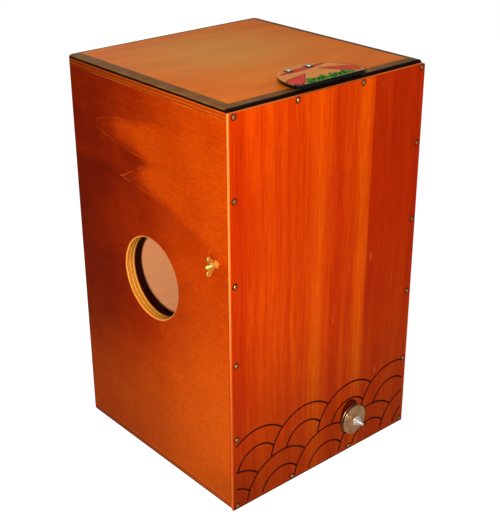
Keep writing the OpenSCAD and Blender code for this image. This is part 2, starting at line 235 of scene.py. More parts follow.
# ---- wood
# Places in the materials are metres in the frame; tones and shares run from 0 to 1.

BARE_PLY = rgb(226, 160, 108)
BARE_DARK = rgb(198, 130, 82)
GLUE = rgb(96, 52, 24)
WARM_SHEEN = rgb(255, 150, 60)
PEACH = rgb(244, 142, 76)
WORN_ORANGE = rgb(228, 104, 10)
SPRUCE = (rgb(222, 178, 118), rgb(188, 136, 82))
SCREW_HEAD_R = 3.0 * MM
INNER_SCREWS_X = (-54 * MM, 46.5 * MM)


def grain(g, along, across, deep):
    """Bands, streaks, fibres and pores of straight-grained veneer, from coordinates in metres."""
    bands = g.noise((along, 1.3), (across, 62), deep, 3, 0.55)
    streaks = g.noise((along, 6), (across, 210), deep, 2, 0.6)
    fibres = g.noise((along, 28), (across, 900), deep, 2)
    specks = g.noise((along, 110), (across, 1900), deep, 1)
    return bands, streaks, fibres, g.rise(specks, 0.66, 0.76)


def ply_edge(g, depth, thickness, count, light, dark, line):
    """Edge of plywood: alternate plies and the thin glue lines between them."""
    step = g.plus(g.times(depth, count / thickness), g.times(g.blots(45), 0.7))
    odd = g.rise(g.math("PINGPONG", g.plus(step, 0.5), 1.0), 0.45, 0.55)
    glue = g.rise(g.math("PINGPONG", step, 0.5), 0.19, 0.07)
    colour = g.vary(g.mix(odd, dark, light), g.blots(500), 0.82, 1.1)
    return g.mix(g.times(glue, 0.8), colour, line)


def bare_wood(g, along, across, deep, light=BARE_PLY, dark=BARE_DARK):
    """Unstained plywood face with faint lines along the grain and a few specks."""
    bands, streaks, fibres, specks = grain(g, along, across, deep)
    tone = g.plus(g.times(bands, 0.6), g.times(streaks, 0.4))
    colour = g.ramp(tone, (0.3, dark), (0.7, light))
    colour = g.vary(colour, fibres, 0.9, 1.05)
    return g.mix(g.times(specks, 0.3), colour, rgb(120, 68, 38))


def stained(g, colour, rough, height, depth=0.12 * MM, shine=0.05):
    """Thin, nearly matt stain: the little light it reflects is warm."""
    return g.finish(colour, rough, normal=g.bump(height, depth, 0.35),
                    Specular_IOR_Level=shine, Specular_Tint=WARM_SHEEN)


def screw_stain_and_shade_rings(g):
    """Dark rings round the face's screws, 1 on the ring: partly stain built up round the heads, partly
    painted shade of their rims.
    """
    low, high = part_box("face_screws")
    column_x = high.x - SCREW_HEAD_R
    top_z, bottom_z = high.z - SCREW_HEAD_R, low.z + SCREW_HEAD_R
    pitch = 100 * MM
    first_z = BASE_LOW.z + pitch

    def mark(dx, dz):
        return g.rise(g.reach(dx, dz), SCREW_HEAD_R + 1.8 * MM, SCREW_HEAD_R + 0.6 * MM)

    edge_x = g.minus(g.size(g.x), column_x)
    row_z = g.math("PINGPONG", g.minus(g.z, first_z), pitch / 2)
    inside = g.both(g.rise(g.z, first_z - pitch / 2, first_z - 0.3 * pitch),
                    g.rise(g.z, top_z - 0.3 * pitch, top_z - 0.6 * pitch))
    ring = g.times(mark(edge_x, row_z), inside)
    for z in (top_z, bottom_z):
        ring = g.either(ring, mark(edge_x, g.minus(g.z, z)))
        for x in INNER_SCREWS_X:
            ring = g.either(ring, mark(g.minus(g.x, x), g.minus(g.z, z)))
    return ring


def stripes(g, across, *places):
    """Sum of soft stripes: places are (middle in mm, half width in mm, gain)."""
    result = 0.0
    for middle, half, gain in places:
        off = g.minus(across, middle * MM)
        result = g.plus(result, g.rise(g.size(off), half * MM, half * MM * 0.25, 0.0, gain))
    return result


def face_material():
    g = Graph("face_veneer_stained")
    drift = g.times(g.minus(g.noise((g.z, 4), (g.x, 3), 1.0), 0.5), 14 * MM)
    across = g.plus(g.x, drift)
    bands, streaks, fibres, specks = grain(g, g.z, across, g.y)
    broad = stripes(g, across, (-20, 15, 0.14), (54, 14, 0.13), (-142, 22, -0.1), (14, 12, -0.08),
                    (-64, 8, -0.08))
    cloud = g.noise((g.x, 9), (g.z, 5), 4.0, 3, 0.6)
    threads = g.noise((g.z, 20), (across, 430), 2.0, 2, 0.6)
    tone = g.plus(g.times(bands, 0.34), g.times(streaks, 0.26), g.times(cloud, 0.3),
                   g.times(threads, 0.22), broad, -0.05)
    colour = g.ramp(tone, (0.26, rgb(156, 26, 0)), (0.44, rgb(182, 47, 0)), (0.6, rgb(201, 66, 1)),
                    (0.8, rgb(219, 98, 3)))
    # a redder strip of veneer to the right of a seam, sharp above and fading lower down
    seam_foot_x, seam_lean = 60 * MM, 0.0135
    off_seam = g.minus(g.x, g.plus(seam_foot_x, g.times(g.z, seam_lean)))
    upper = g.rise(g.z, 0.08, 0.34)
    strip = g.times(g.rise(off_seam, 0.0, 0.9 * MM), g.blend(upper, 0.25, 1.0))
    red_strip = g.ramp(tone, (0.28, rgb(138, 22, 0)), (0.5, rgb(160, 34, 0)), (0.8, rgb(186, 52, 1)))
    colour = g.mix(strip, colour, red_strip)
    seam = g.times(g.near(off_seam, 0.2 * MM, 0.7 * MM), upper)
    colour = g.mix(g.times(seam, 0.35), colour, rgb(120, 20, 0))
    # browner below and redder above the middle; painted shade darkens it towards the foot and its left
    # corner, and a painted highlight lightens it near the top
    colour = g.mix(g.rise(g.z, 0.24, 0.0, 0.0, 0.35), colour, rgb(150, 56, 4))
    middle = g.times(g.rise(g.z, 0.26, 0.33), g.rise(g.z, 0.43, 0.38))
    colour = g.mix(g.times(middle, 0.22), colour, rgb(176, 30, 0))
    colour = g.shade(colour, g.rise(g.z, 0.0, 0.3, 0.7, 0.96))
    off_corner = g.reach(g.minus(g.x, FACE_LOW.x), g.minus(g.z, FACE_LOW.z))
    colour = g.shade(colour, g.rise(off_corner, 90 * MM, 10 * MM, 1.0, 0.72))
    colour = g.shade(colour, g.rise(g.z, 0.36, 0.5, 1.0, 1.09))
    colour = g.vary(colour, fibres, 0.87, 1.1)
    # short dark pores, and a few pale scratches
    dashes = g.noise((g.z, 75), (g.x, 620), 8.0, 1)
    colour = g.mix(g.rise(dashes, 0.62, 0.76, 0.0, 0.4), colour, rgb(128, 18, 0))
    colour = g.mix(g.times(specks, 0.3), colour, rgb(90, 20, 4))
    scratch = g.noise((g.z, 60), (g.x, 520), 3.0, 0)
    rare = g.rise(g.noise((g.x, 16), (g.z, 16), 6.0), 0.6, 0.72)
    colour = g.mix(g.times(g.rise(scratch, 0.7, 0.82), g.times(rare, 0.6)), colour, PEACH)
    # dark rings round the screws: partly stain, partly painted shade
    colour = g.mix(g.times(screw_stain_and_shade_rings(g), 0.8), colour, rgb(60, 14, 2))
    colour = g.mix(g.rise(g.z, FACE_LOW.z + 2 * MM, FACE_LOW.z + 0.6 * MM), colour, rgb(70, 22, 6))
    outside = g.rise(g.ny, -0.4, -0.8)
    # the edge is stained near the face and paler behind
    behind = g.rise(g.minus(g.y, FACE_Y), 1.3 * MM, 1.8 * MM)
    edge = g.mix(g.times(behind, g.rise(streaks, 0.3, 0.7, 1.0, 0.6)), WORN_ORANGE, PEACH)
    dim = g.either(g.rise(g.z, 0.34, 0.12), g.times(g.rise(g.nz, 0.4, 0.8), 0.6))
    edge = g.mix(g.times(dim, 0.85), edge, rgb(190, 74, 16))
    colour = g.mix(outside, edge, colour)
    colour = g.mix(g.rise(g.ny, 0.4, 0.8), colour, bare_wood(g, g.z, g.x, g.y))
    height = g.plus(g.times(fibres, 0.6), g.times(streaks, 0.4))
    return stained(g, colour, g.rise(streaks, 0.2, 0.8, 0.36, 0.5), height)


# birch figure of the side, in mm: the tip of its tongue, and the fork of the wedge below it
TIP_Y, TIP_Z = 97, 434.5
FORK_Y, FORK_Z = 50, 381.9


def side_figure(g, level):
    """Height in mm above the edge of the birch figure: two nested tongues open to the front."""
    y = g.times(g.y, 1000)
    z = g.times(level, 1000)
    spread = 2.25
    tongue = g.times(g.math("SQRT", g.either(g.minus(TIP_Y, y), 0.0)), spread)
    tongue = g.minus(tongue, g.size(g.minus(z, TIP_Z)))
    tongue = g.minus(tongue, g.either(g.minus(y, TIP_Y), 0.0))
    d = g.minus(FORK_Y, y)
    floor_z = g.minus(FORK_Z, g.plus(g.times(d, 0.10), g.times(d, d, 0.0009)))
    roof_z = g.plus(FORK_Z, g.times(d, 0.45))
    wedge = g.both(g.minus(z, floor_z), g.minus(roof_z, z))
    return g.either(tongue, wedge)


def side_material():
    g = Graph("side_veneer_stained")
    outward = g.times(g.nx, g.math("SIGN", g.x))
    outside = g.rise(outward, 0.45, 0.85)
    ripple = g.minus(g.noise((g.y, 15), (g.z, 26), 2.0, 3, 0.65), 0.5)
    level = g.plus(g.z, g.times(ripple, 15 * MM))
    bands, streaks, fibres, specks = grain(g, g.y, level, g.x)
    figure = side_figure(g, level)
    inner = g.rise(figure, -4.0, 10.0)
    under = g.times(g.rise(figure, -75.0, -2.0), g.rise(g.z, 0.42, 0.38))
    upper = g.rise(g.z, 0.06, 0.22)
    cloud = g.noise((g.y, 14), (g.z, 11), 5.0, 3, 0.6)
    # darker towards the rear edge: partly the stain, partly painted shade
    front = g.rise(g.y, 0.15, -0.14)
    outer_tone = g.times(front, 0.47)
    slant = g.plus(g.y, g.times(g.minus(TIP_Z * MM, g.z), 0.8))
    inner_tone = g.rise(slant, 0.1, 0.01, 0.05, 0.5)
    base = g.blend(g.times(inner, upper), outer_tone, g.either(inner_tone, outer_tone))
    tone = g.plus(base, g.times(cloud, 0.4), g.times(bands, 0.14), g.times(streaks, 0.1), -0.14)
    # a dark smudge between the tongue and the wedge, and a darker field under both
    smudge = g.reach(g.minus(g.y, 24 * MM), g.minus(g.z, 412 * MM))
    tone = g.minus(tone, g.rise(g.plus(smudge, g.times(ripple, 0.02)), 34 * MM, 6 * MM, 0.0, 0.16))
    tone = g.minus(tone, g.times(under, g.minus(1.0, inner), 0.1))
    red = g.ramp(tone, (0.1, rgb(102, 18, 0)), (0.35, rgb(136, 32, 0)), (0.6, rgb(170, 52, 0)),
                 (0.85, rgb(188, 66, 1)))
    brown = g.ramp(tone, (0.1, rgb(146, 48, 2)), (0.5, rgb(172, 66, 6)), (0.85, rgb(188, 76, 10)))
    low_front = g.times(g.rise(g.y, 0.0, -0.12), g.rise(g.z, 0.3, 0.16))
    colour = g.mix(upper, brown, red)
    colour = g.mix(g.times(low_front, g.rise(g.z, 0.0, 0.1, 0.0, 0.6)), colour, rgb(196, 78, 6))
    # darker over the middle of the rear half: partly the stain, partly painted shade
    mid_back = g.times(g.rise(g.y, -0.02, 0.1), g.rise(g.size(g.minus(g.z, 0.25)), 0.14, 0.03))
    colour = g.shade(colour, g.rise(mid_back, 0.0, 1.0, 1.0, 0.86))
    # painted shade: darker towards the front corner of the foot
    off_corner = g.reach(g.minus(g.y, SIDE_LOW.y), g.minus(g.z, BASE_LOW.z))
    colour = g.shade(colour, g.rise(off_corner, 70 * MM, 10 * MM, 1.0, 0.86))
    # pale outline of the figure, clearest at the fork
    contour = g.times(g.near(figure, 0.2, 0.7), g.rise(g.blots(55), 0.4, 0.56, 0.15, 1.0))
    from_fork = g.reach(g.minus(g.y, FORK_Y * MM), g.minus(g.z, FORK_Z * MM))
    contour = g.times(contour, g.rise(from_fork, 80 * MM, 25 * MM, 0.35, 1.0))
    colour = g.mix(g.times(contour, upper, 0.38), colour, rgb(236, 108, 26))
    ticks = g.noise((g.y, 130), (level, 520), g.x, 1, 0.6)
    colour = g.shade(colour, g.rise(ticks, 0.25, 0.75, 0.87, 1.13))
    colour = g.vary(colour, fibres, 0.93, 1.05)
    colour = g.mix(g.times(specks, 0.25), colour, rgb(70, 18, 4))
    # faint scratched arcs that the wing nut has left
    dy, dz = g.minus(g.y, BAR_Y), g.minus(g.z, BAR_Z)
    arc = g.near(g.minus(g.reach(g.plus(dy, 4 * MM), dz), 19 * MM), 0.3 * MM, 0.9 * MM)
    broken = g.rise(g.noise((g.y, 90), (g.z, 90), 7.0), 0.48, 0.6)
    colour = g.mix(g.times(arc, broken, 0.25), colour, rgb(246, 110, 40))
    # dark joint against the face, and the worn bare edge round the sound hole
    joint = g.rise(g.y, SIDE_LOW.y + 1.6 * MM, SIDE_LOW.y + 0.5 * MM)
    colour = g.mix(g.times(joint, g.rise(g.z, 0.36, 0.2, 0.3, 0.85)), colour, rgb(96, 22, 2))
    from_hole = g.reach(g.minus(g.y, HOLE_Y), g.minus(g.z, HOLE_Z))
    ragged = g.times(g.minus(g.blots(300), 0.5), 1.4 * MM)
    rim = g.rise(g.plus(from_hole, ragged), HOLE_R + 2.2 * MM, HOLE_R + 1.4 * MM)
    on_left = g.rise(g.x, 0.01, -0.01)
    colour = g.mix(g.times(rim, on_left, g.rise(dy, 0.05, 0.1)), colour, rgb(214, 128, 54))
    depth = g.minus(HALF_W, g.size(g.x))
    edge = ply_edge(g, depth, BOX_PLY, 5, rgb(226, 150, 56), rgb(200, 112, 30), rgb(76, 34, 8))
    # the upright edge at the back is stained like the panel
    rear_edge = g.rise(g.ny, 0.4, 0.8)
    stained_edge = ply_edge(g, depth, BOX_PLY, 5, rgb(176, 70, 10), rgb(150, 54, 6), rgb(84, 24, 4))
    edge = g.mix(rear_edge, edge, stained_edge)
    # the round-over of the hole is stained on its front half only
    stained_rim = g.times(g.rise(depth, 1.8 * MM, 1.5 * MM),
                          g.rise(g.y, HOLE_Y + 8 * MM, HOLE_Y - 8 * MM))
    colour = g.mix(g.either(outside, stained_rim), edge, colour)
    colour = g.mix(g.rise(outward, -0.45, -0.85), colour, bare_wood(g, g.y, level, g.x))
    height = g.plus(g.times(ticks, 0.5), g.times(fibres, 0.5))
    return stained(g, colour, g.rise(ticks, 0.2, 0.8, 0.36, 0.5), height, 0.15 * MM, 0.02)


def seat_material():
    g = Graph("seat_veneer_stained")
    swirl = g.times(g.noise((g.x, 5), (g.y, 9), 4.0, 2), 26 * MM)
    across = g.plus(g.y, swirl)
    bands, streaks, fibres, specks = grain(g, g.x, across, g.z)
    bow = g.plus(g.times(g.plus(g.x, 60 * MM), 0.35), g.times(across, across, 5.0))
    arches = g.math("PINGPONG", g.times(bow, 44), 1.0)
    cloud = g.noise((g.x, 10), (g.y, 14), 2.0, 3, 0.6)
    mottle = g.noise((g.x, 190), (g.y, 330), 5.0, 2, 0.6)
    tone = g.plus(g.times(bands, 0.26), g.times(streaks, 0.1), g.times(arches, 0.07),
                   g.times(cloud, 0.4), g.times(mottle, 0.17))
    colour = g.ramp(tone, (0.3, rgb(196, 90, 5)), (0.5, rgb(214, 106, 9)), (0.7, rgb(230, 124, 18)))
    # a painted reflection: paler and browner in the middle
    painted_reflection = g.rise(g.reach(g.x, g.times(g.minus(g.y, 40 * MM), 1.2)), 0.17, 0.02)
    colour = g.mix(g.times(painted_reflection, 0.65), colour, rgb(206, 142, 60))
    colour = g.vary(colour, fibres, 0.93, 1.05)
    colour = g.mix(g.times(specks, 0.25), colour, rgb(96, 44, 14))
    # hand-painted border, wide on the left and the front, and the black rolled edge all round
    brush = g.times(g.minus(g.noise((g.x, 70), (g.y, 70), 9.0), 0.5), 0.9 * MM)
    border_w = 15.5 * MM
    from_left = g.minus(border_w - HALF_W, g.x)
    from_front = g.minus(SEAT_LOW.y + border_w, g.y)
    from_back = g.minus(g.y, SEAT_HIGH.y - 6.5 * MM)
    from_right = g.minus(g.x, HALF_W - 9 * MM)
    inward = g.either(from_left, from_front, g.either(from_back, from_right))
    border = g.rise(g.plus(inward, brush), -1.8 * MM, 0.6 * MM)
    depth = g.minus(SEAT_Z, g.z)
    rim = g.rise(g.plus(depth, g.times(brush, 0.5)), 0.8 * MM, 1.5 * MM)
    cover = g.noise((g.x, 46), (g.y, 46), 11.0, 3, 0.65)
    wash = g.mix(g.rise(cover, 0.3, 0.75), rgb(92, 62, 30), rgb(118, 86, 46))
    wash = g.shade(wash, g.rise(g.x, 0.06, 0.14, 1.0, 0.72))
    colour = g.mix(g.times(border, 0.92), colour, wash)
    # the black runs onto the flat along the front: partly paint, partly painted shadow under the
    # castanet plate
    black_paint_and_shadow = g.rise(g.plus(from_front, g.times(brush, 2.5)), 10.5 * MM, 12.5 * MM)
    colour = g.mix(g.either(rim, black_paint_and_shadow), colour, rgb(12, 6, 3))
    # below the rolled edge the stained plies show
    plies = ply_edge(g, depth, BOX_PLY, 6, rgb(196, 78, 6), rgb(168, 56, 3), rgb(78, 16, 1))
    # darker towards the back, as on the sides: partly the stain, partly painted shade
    plies = g.shade(plies, g.rise(g.y, 0.15, -0.14, 0.5, 1.0))
    joint_line = g.times(g.near(g.minus(depth, BOX_PLY - 0.4 * MM), 0.3 * MM, 0.4 * MM),
                         g.rise(g.blots(30), 0.42, 0.55))
    plies = g.mix(g.times(joint_line, 0.22), plies, rgb(240, 140, 50))
    side_on = g.rise(depth, 3.0 * MM, 3.4 * MM)
    colour = g.mix(side_on, colour, plies)
    colour = g.mix(g.rise(g.nz, -0.45, -0.85), colour, bare_wood(g, g.x, g.y, g.z))
    height = g.plus(g.times(fibres, 0.5), g.times(streaks, 0.5))
    flat = g.rise(g.nz, 0.5, 0.95)
    shine = g.times(flat, g.blend(border, 0.11, 0.05))
    rough = g.blend(rim, g.rise(streaks, 0.2, 0.8, 0.38, 0.5), 0.6)
    return g.finish(colour, rough, normal=g.bump(height, 0.12 * MM, 0.3),
                    Specular_IOR_Level=g.either(shine, 0.03))


def base_material():
    g = Graph("base_ply_stained")
    bands, _, fibres, _ = grain(g, g.x, g.y, g.z)
    colour = g.ramp(bands, (0.3, rgb(120, 46, 10)), (0.7, rgb(170, 74, 20)))
    colour = g.vary(colour, fibres, 0.86, 1.08)
    upright = g.rise(g.size(g.nz), 0.8, 0.5)
    depth = g.minus(BASE_HIGH.z, g.z)
    plies = ply_edge(g, depth, BASE_PLY, 5, rgb(178, 70, 8), rgb(158, 56, 5), rgb(110, 36, 4))
    # darker towards the back, as on the sides: partly the stain, partly painted shade
    plies = g.shade(plies, g.rise(g.y, 0.15, -0.14, 0.66, 1.0))
    plies = g.mix(g.rise(depth, 0.8 * MM, 0.3 * MM, 0.0, 0.6), plies, rgb(232, 116, 44))
    colour = g.mix(upright, colour, plies)
    rim = g.times(g.rise(g.z, BASE_LOW.z + 2.6 * MM, BASE_LOW.z + 1.6 * MM), g.rise(g.nz, -0.97, -0.9))
    colour = g.mix(rim, colour, rgb(30, 14, 8))
    colour = g.mix(g.rise(g.nz, 0.6, 0.9), colour, bare_wood(g, g.x, g.y, g.z))
    return stained(g, colour, 0.48, fibres)


def back_material():
    g = Graph("back_ply_stained")
    bands, streaks, fibres, specks = grain(g, g.z, g.x, g.y)
    cloud = g.noise((g.x, 8), (g.z, 6), 3.0, 3, 0.6)
    tone = g.plus(g.times(bands, 0.45), g.times(streaks, 0.25), g.times(cloud, 0.3))
    colour = g.ramp(tone, (0.3, rgb(150, 42, 2)), (0.5, rgb(178, 58, 4)), (0.72, rgb(204, 80, 10)))
    colour = g.vary(colour, fibres, 0.9, 1.06)
    colour = g.mix(g.times(specks, 0.4), colour, rgb(80, 24, 6))
    inner = bare_wood(g, g.x, g.z, g.y, rgb(230, 150, 98), rgb(225, 144, 93))
    edge = ply_edge(g, g.minus(BACK_HIGH.y, g.y), BACK_PLY, 3, BARE_PLY, BARE_DARK, GLUE)
    colour = g.mix(g.rise(g.ny, 0.45, 0.85), edge, colour)
    colour = g.mix(g.rise(g.ny, -0.45, -0.85), colour, inner)
    return stained(g, colour, g.rise(streaks, 0.2, 0.8, 0.4, 0.54), fibres)


def solid_wood(name, along, light, dark, rough=0.6):
    """Plain planed wood with its grain along one axis: x, y or z."""
    g = Graph(name)
    axes = {"x": (g.x, g.y, g.z), "y": (g.y, g.x, g.z), "z": (g.z, g.x, g.y)}
    u, v, w = axes[along]
    rings = g.noise((u, 3), (v, 130), (w, 130), 2)
    fibres = g.noise((u, 40), (v, 1100), (w, 1100), 2)
    colour = g.ramp(rings, (0.32, dark), (0.6, light))
    colour = g.vary(colour, fibres, 0.86, 1.08)
    return g.finish(colour, rough, normal=g.bump(fibres, 0.15 * MM, 0.4), Specular_IOR_Level=0.3)


def washer_marks(g, colour):
    """Dark olive rings round the castanet's two screws."""
    dx = g.minus(g.size(g.minus(g.x, PLATE_SCREW_MID.x)), PLATE_SCREW_OFF)
    reach = g.reach(dx, g.minus(g.y, PLATE_SCREW_MID.y))
    ring = g.rise(reach, PLATE_SCREW_R + 2.8 * MM, PLATE_SCREW_R + 2.0 * MM)
    return g.mix(g.times(ring, 0.8), colour, rgb(84, 70, 22))


def plate_material():
    """Varnished plywood in the seat's colour, with a glossy black painted edge."""
    g = Graph("castanet_wood")
    bands, _, fibres, _ = grain(g, g.x, g.y, g.z)
    colour = g.ramp(bands, (0.3, rgb(204, 118, 44)), (0.7, rgb(226, 142, 62)))
    colour = g.vary(colour, fibres, 0.9, 1.05)
    colour = washer_marks(g, colour)
    # the black paint of the edge runs onto the front left corner and a narrow strip behind the edge
    worn = g.times(g.minus(g.blots(160, 3), 0.5), 6 * MM)
    from_edge = g.minus(g.y, PLATE_LOW.y)
    from_corner = g.plus(g.reach(g.minus(g.x, PLATE_LOW.x + 5 * MM), from_edge), worn)
    strip = g.rise(g.plus(from_edge, g.times(worn, 0.3)), 2.4 * MM, 1.8 * MM)
    painted = g.either(g.rise(from_corner, 9.5 * MM, 8.5 * MM), strip)
    black = g.either(g.rise(g.nz, 0.97, 0.8), painted,
                     g.rise(g.z, PLATE_LOW.z + 1.0 * MM, PLATE_LOW.z))
    colour = g.mix(black, colour, rgb(9, 6, 4))
    chips = g.blots(240, 3)
    colour = g.mix(g.times(g.rise(chips, 0.7, 0.76), black), colour, rgb(104, 70, 42))
    return g.finish(colour, g.blend(black, 0.45, 0.2), normal=g.bump(fibres, 0.1 * MM, 0.3),
                    Specular_IOR_Level=g.blend(black, 0.2, 0.3))


# ---- metal, rubber and paint


def metal(name, bright, dull, rough, scale, coverage):
    """Worn metal: bright where it is rubbed, dull and rougher where it has tarnished."""
    g = Graph(name)
    fine = g.blots(2600)
    dark_share = g.rise(g.blots(scale, 4, 0.6), *coverage)
    colour = g.mix(dark_share, bright, dull)
    surface = g.plus(g.times(dark_share, 0.22), g.times(fine, 0.12), rough - 0.06)
    return g.finish(colour, surface, 0.8, g.bump(fine, 0.04 * MM, 0.4))


def screw_material(name, axis, bright, dark, stain):
    """Screw heads facing along an axis, their rims darkened as painted shade. stain is how dull some
    of them are.
    """
    g = Graph(name)
    fine = g.blots(1600)
    facing = g.size({"y": g.ny, "z": g.nz}[axis])
    # the rims darken where the head turns away from its axis, as painted shade; the noise adds real
    # tarnish
    dark_share = g.either(g.rise(facing, 0.8, 0.62), g.rise(g.blots(500, 3), 0.5, 0.7, 0.0, 0.5))
    colour = g.mix(dark_share, bright, dark)
    dulled = g.rise(g.noise((g.x, 8), 0.0, (g.z, 8)), 0.42, 0.5, 0.0, stain)
    colour = g.mix(g.times(dulled, 0.75), colour, rgb(104, 52, 16))
    surface = g.plus(g.times(dark_share, 0.2), g.times(dulled, 0.25), g.times(fine, 0.1), 0.32)
    return g.finish(colour, surface, g.blend(dulled, 1.0, 0.5), g.bump(fine, 0.05 * MM, 0.4),
                    Specular_IOR_Level=g.blend(dulled, 0.5, 0.1))


def jingle_material():
    """Bronze sheet polished in rings, a little tarnished."""
    g = Graph("jingle_bronze")
    reach = g.reach(g.minus(g.x, JINGLE_X), g.minus(g.z, JINGLE_Z))
    rings = g.noise((reach, 1500), 0.0, 0.0, 2)
    dark_share = g.rise(g.blots(70, 3, 0.6), 0.35, 0.75)
    colour = g.mix(dark_share, rgb(222, 176, 124), rgb(186, 138, 92))
    colour = g.vary(colour, rings, 0.88, 1.06)
    height = g.plus(g.times(rings, 0.7), g.times(g.blots(900), 0.3))
    return g.finish(colour, g.rise(rings, 0.2, 0.8, 0.3, 0.42), 1.0, g.bump(height, 0.05 * MM, 0.5))


def rubber_material():
    g = Graph("black_rubber")
    dust = g.rise(g.blots(90, 3), 0.5, 0.8, 0.0, 0.5)
    colour = g.mix(dust, rgb(28, 27, 26), rgb(74, 70, 66))
    return g.finish(colour, 0.72, normal=g.bump(g.blots(1500), 0.15 * MM, 0.5))


def paint(name, main, second, rough=0.45, shine=0.04, ringed=False):
    """Hand-brushed paint that thins out here and there. Ringed paint shows the washer marks."""
    g = Graph(name)
    brush = g.noise((g.x, 1400), (g.y, 300), (g.z, 300), 2)
    colour = g.mix(g.rise(g.blots(180, 3, 0.6), 0.4, 0.75), main, second)
    colour = g.vary(colour, brush, 0.9, 1.08)
    if ringed:
        colour = washer_marks(g, colour)
    return g.finish(colour, rough, normal=g.bump(brush, 0.05 * MM, 0.4), Specular_IOR_Level=shine)


# ---- meshes


def put(name, data):
    """New object in the scene."""
    obj = bpy.data.objects.new(name, data)
    bpy.context.scene.collection.objects.link(obj)
    return obj


def piece(name, shape, material, body, node=None):
    """New smooth-shaded mesh object riding on a body. It stands in for a CAD node if one is given.

    A shape is a list of vertices and a list of faces.
    """
    verts, faces = shape
    mesh = bpy.data.meshes.new(name)
    mesh.from_pydata([tuple(v) for v in verts], [], faces)
    mesh.validate()
    mesh.materials.append(material)
    for polygon in mesh.polygons:
        polygon.use_smooth = True
    mesh.set_sharp_from_angle(angle=math.radians(38))
    mesh.update()
    obj = put(name, mesh)
    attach(obj, body)
    if node:
        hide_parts(node)


def merged(shapes):
    """Several closed shapes as one."""
    verts, faces = [], []
    for more_verts, more_faces in shapes:
        base = len(verts)
        verts += more_verts
        faces += [tuple(base + i for i in face) for face in more_faces]
    return verts, faces


def rings_to_faces(rows, columns, closed_rows=False):
    """Quads of a grid whose columns wrap round. closed_rows joins the last row to the first."""
    faces = []
    for row in range(rows if closed_rows else rows - 1):
        here, there = row * columns, ((row + 1) % rows) * columns
        for c in range(columns):
            d = (c + 1) % columns
            faces.append((here + c, here + d, there + d, there + c))
    return faces


def frame_at(origin, axis, start=(0, 0, 1)):
    """Matrix whose Z axis points along axis, at origin."""
    z = Vector(axis).normalized()
    x = Vector(start) - Vector(start).dot(z) * z
    x.normalize()
    basis = Matrix((x, z.cross(x), z)).transposed().to_4x4()
    return Matrix.Translation(Vector(origin)) @ basis


def turns(count):
    """Angles of count equal steps round a circle."""
    return [2 * math.pi * k / count for k in range(count)]


def round_point(place, radius, angle, height):
    return place @ Vector((radius * math.cos(angle), radius * math.sin(angle), height))


def turned(profile, place, segments=96):
    """Closed profile of (radius, height) turned round the Z axis of place."""
    verts = [round_point(place, radius, a, height)
             for radius, height in profile for a in turns(segments)]
    return verts, rings_to_faces(len(profile), segments, True)


def rod(place, length, radius_at, rows, columns):
    """Rod whose radius is radius_at(height, angle), with flat ends."""
    verts = []
    for row in range(rows + 1):
        h = length * row / rows
        verts += [round_point(place, radius_at(h, a), a, h) for a in turns(columns)]
    faces = rings_to_faces(rows + 1, columns)
    faces.append(tuple(reversed(range(columns))))
    faces.append(tuple(range(rows * columns, (rows + 1) * columns)))
    return verts, faces


def threaded_rod(place, length, radius, pitch):
    """Machine thread with rounded crests and a chamfered tip."""
    depth = 0.3 * pitch
    chamfer = 0.4 * radius

    def radius_at(h, a):
        wave = 0.5 + 0.5 * math.cos(2 * math.pi * (h / pitch) - a)
        tip = max(0.0, h - (length - chamfer))
        return min(radius - depth * (1 - wave), radius - tip * 0.9)

    return rod(place, length, radius_at, int(length / pitch * 7), 20)


def nut(place, corner_r, height, bore_r):
    """Hex nut with chamfered corners and a bore."""
    apothem = corner_r * math.cos(math.pi / 6)
    columns = 48
    chamfer_slope = 1.9
    countersink = 0.35 * MM

    def outer(a, h):
        off = (a + math.pi / 6) % (math.pi / 3) - math.pi / 6
        flat = apothem / math.cos(off - math.copysign(math.pi / 6, off))
        return min(flat, apothem * 0.985 + min(h, height - h) * chamfer_slope)

    rows = []
    for level in (0.0, 0.06, 0.14, 0.24, 0.5, 0.76, 0.86, 0.94, 1.0):
        rows.append((lambda a, h=height * level: outer(a, h), height * level))
    for r, h in ((bore_r + countersink, height), (bore_r, height - countersink),
                 (bore_r, countersink), (bore_r + countersink, 0.0)):
        rows.append((lambda a, r=r: r, h))
    verts = [round_point(place, radius(a), a, h) for radius, h in rows for a in turns(columns)]
    return verts, rings_to_faces(len(rows), columns, True)


FILM = 0.08 * MM


def ribbon(points, width, to_space, closed=False):
    """Raised flat line along points of a plane. to_space turns (u, v, height) into the frame."""
    n = len(points)
    verts = []
    for i in range(n):
        if closed:
            ahead, behind = points[(i + 1) % n], points[i - 1]
        else:
            ahead, behind = points[min(i + 1, n - 1)], points[max(i - 1, 0)]
        along = (Vector(ahead) - Vector(behind)).normalized()
        side = Vector((-along.y, along.x)) * width / 2
        p = Vector(points[i])
        for share, h in ((-1, 0.0), (1, 0.0), (0.86, FILM), (-0.86, FILM)):
            q = p + side * share
            verts.append(to_space(q.x, q.y, h))
    faces = rings_to_faces(n, 4, closed)
    if not closed:
        faces.append((3, 2, 1, 0))
        faces.append(tuple(range(4 * n - 4, 4 * n)))
    return verts, faces


def patch(outline, to_space, height=0.6 * FILM):
    """Raised flat area inside a closed outline, fanned out from its middle."""
    n = len(outline)
    middle = sum((Vector(p) for p in outline), Vector((0, 0))) / n
    verts = [to_space(u, v, 0.0) for u, v in outline]
    verts += [to_space(u, v, height) for u, v in outline]
    verts += [to_space(middle.x, middle.y, 0.0), to_space(middle.x, middle.y, height)]
    faces = []
    for i in range(n):
        j = (i + 1) % n
        faces.append((i, j, n + j, n + i))
        faces.append((j, i, 2 * n))
        faces.append((n + i, n + j, 2 * n + 1))
    return verts, faces


def on_face(u, v, height):
    """Point on the playing face: u is across, v is up, height is out of the face."""
    return Vector((u, FACE_Y - height, v))


def on_plate(u, v, height):
    """Point on the castanet plate's upper face."""
    return Vector((u, v, PLATE_HIGH.z + height))


# ---- materials of the CAD nodes

